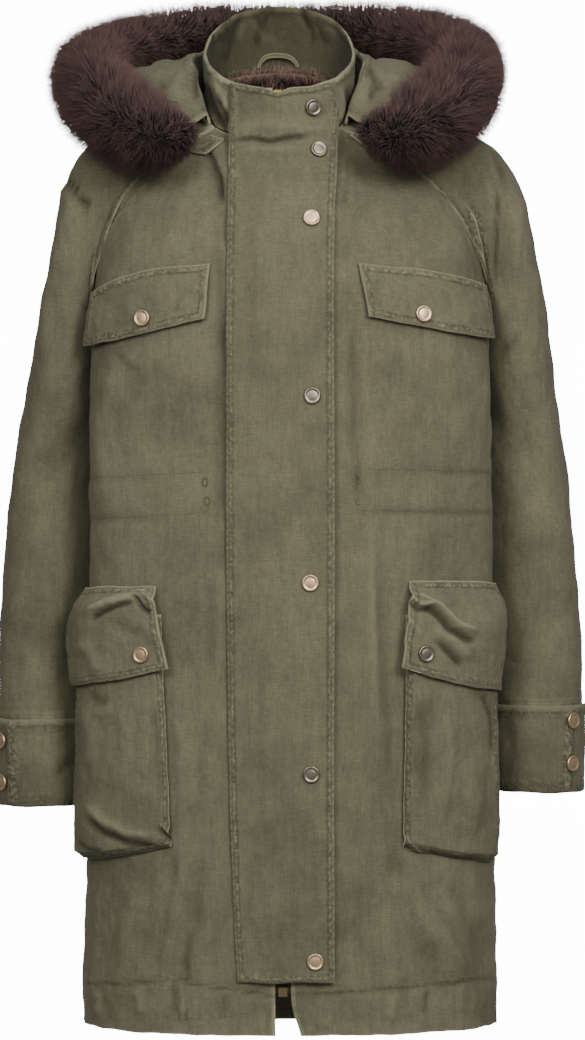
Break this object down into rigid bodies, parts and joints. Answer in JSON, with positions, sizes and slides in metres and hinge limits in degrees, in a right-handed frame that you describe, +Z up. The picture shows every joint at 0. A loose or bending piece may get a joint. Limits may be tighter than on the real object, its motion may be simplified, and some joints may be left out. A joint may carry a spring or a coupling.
{
  "type": "fur trimmed parka",
  "caption": "Knee-length hooded parka in olive cotton twill, with a stand collar, a snapped storm flap over the zip, bellows pockets and a roll of long fur round the hood.",
  "frame": {"origin": "middle of the neck seam, where the wearer's neck and shoulders hold the coat", "axes": "+Z up, -Y the coat's front, +X the wearer's left"},
  "size_m": [0.6142, 0.3673, 1.0895],
  "materials": {
    "olive_twill": "washed matt cotton twill",
    "brown_fur": "long brown fur pile",
    "pale_metal": "pale gold plated press studs",
    "gold_metal": "polished zip metal",
    "zip_tape": "woven tape"
  },
  "bodies": {
    "coat": {"back": "olive_twill", "chest_flap_left": "olive_twill", "chest_flap_right": "olive_twill", "chest_snap_left": "pale_metal", "chest_snap_right": "pale_metal", "collar": "olive_twill", "cuff_left": "olive_twill", "cuff_right": "olive_twill", "cuff_snap_left_1": "pale_metal", "cuff_snap_left_2": "pale_metal", "cuff_snap_right_1": "pale_metal", "cuff_snap_right_2": "pale_metal", "flap_snap_1": "pale_metal", "flap_snap_2": "pale_metal", "flap_snap_3": "pale_metal", "flap_snap_4": "pale_metal", "flap_snap_5": "pale_metal", "flap_snap_6": "pale_metal", "flap_snap_7": "pale_metal", "front_left": "olive_twill", "front_right": "olive_twill", "fur_lining": "brown_fur", "fur_trim": "brown_fur", "hanger_loop": "olive_twill", "hood": "olive_twill", "hood_end_left": "olive_twill", "hood_end_right": "olive_twill", "pocket_flap_left": "olive_twill", "pocket_flap_right": "olive_twill", "pocket_left": "olive_twill", "pocket_right": "olive_twill", "pocket_snap_left": "pale_metal", "pocket_snap_right": "pale_metal", "sleeve_left": "olive_twill", "sleeve_right": "olive_twill", "storm_flap": "olive_twill", "zip_box": "gold_metal", "zip_chain": "gold_metal", "zip_slider": "gold_metal", "zip_tape": "zip_tape"},
    "zip_pull": {"zip_pull": "gold_metal"}
  },
  "joints": [
    {"name": "zip_pull_swing", "type": "hinge", "parent": "coat", "child": "zip_pull", "pos_m": [-0.00749, -0.09771, 0.02158], "axis": [-1, 0, 0], "range_deg": [0, 10]}
  ]
}
